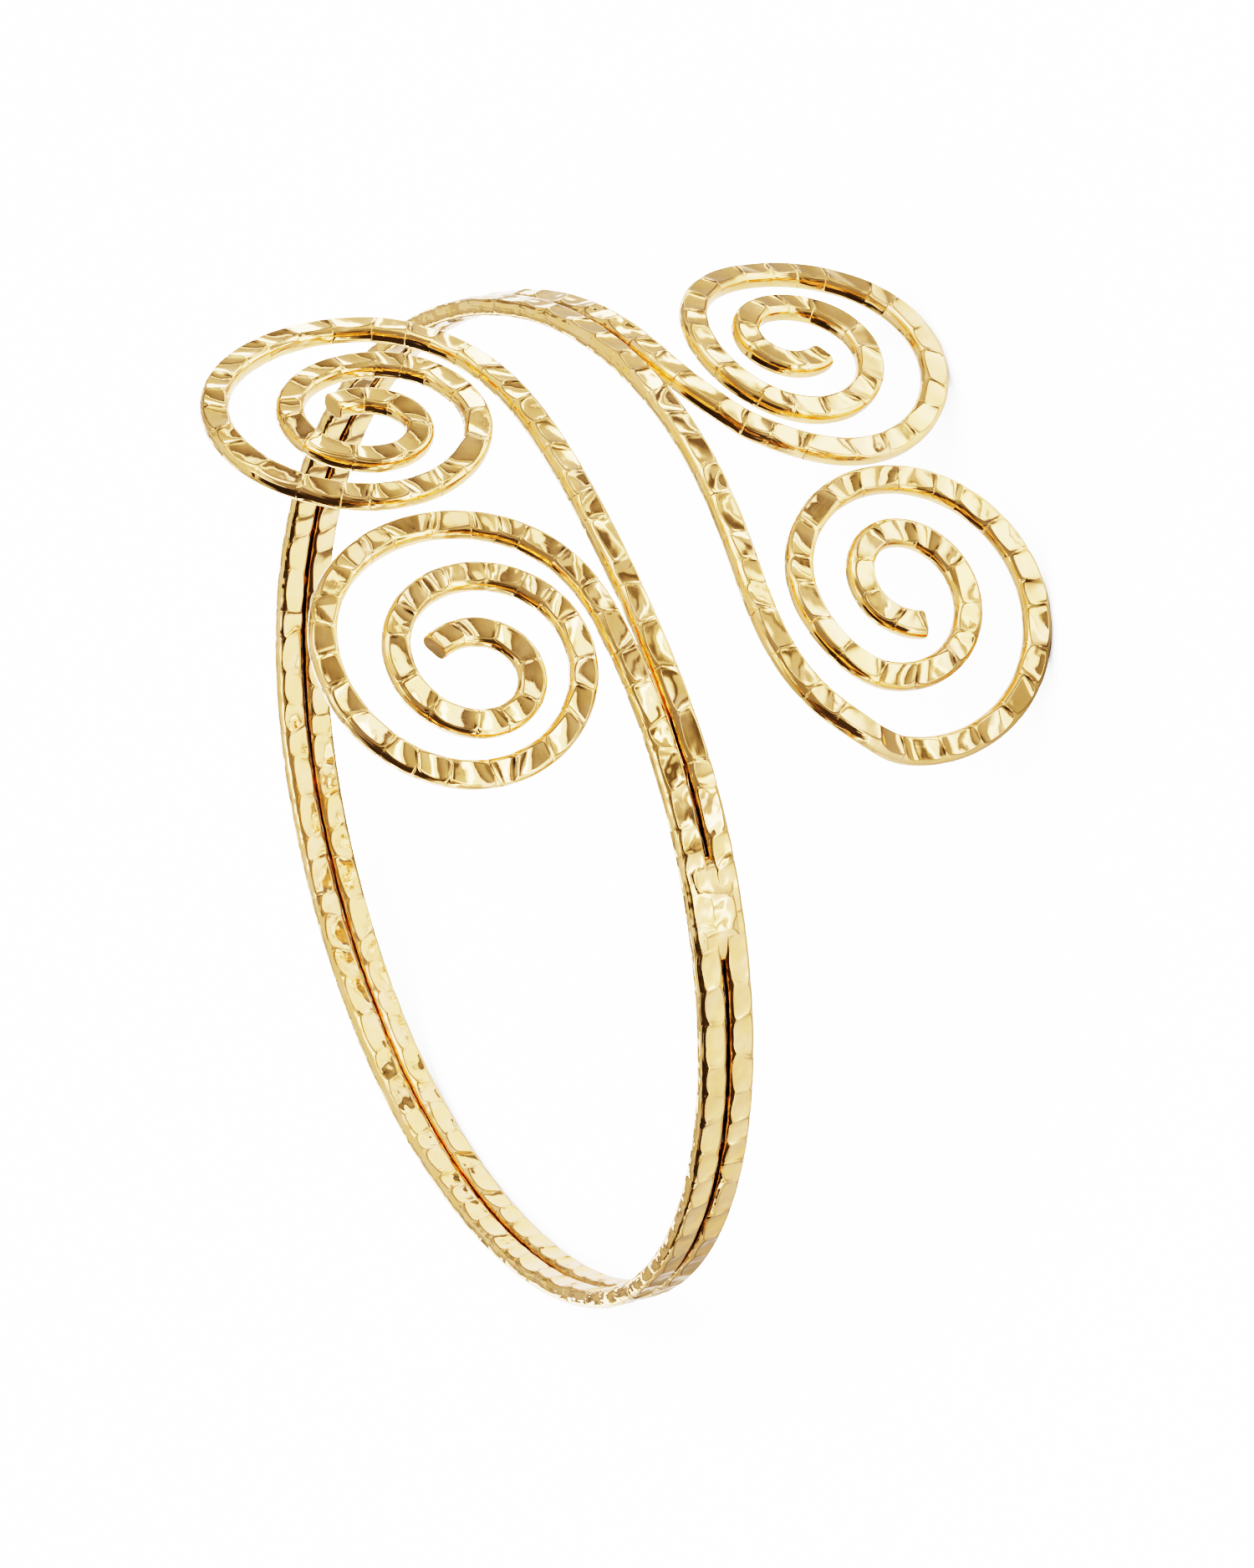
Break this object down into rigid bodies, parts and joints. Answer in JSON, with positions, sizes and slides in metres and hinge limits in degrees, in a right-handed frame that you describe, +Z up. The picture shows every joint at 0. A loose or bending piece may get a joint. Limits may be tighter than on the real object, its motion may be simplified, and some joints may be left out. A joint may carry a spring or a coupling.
{
  "type": "upper arm cuff",
  "caption": "Open bypass upper arm cuff of two hammered gold-coloured wires soldered side by side, each end parting into two flat scrolls; it lies on its side.",
  "frame": {"origin": "middle of the bounding box's bottom, on the surface that the cuff lies on", "axes": "+Z up from that surface, -Y towards the front, where the ends pass each other, +X along the front, to the right as it is seen from the front"},
  "size_m": [0.0902, 0.0886, 0.0621],
  "materials": {
    "gold": "polished, hammered"
  },
  "bodies": {
    "root": {"cuff": "gold"}
  },
  "joints": []
}
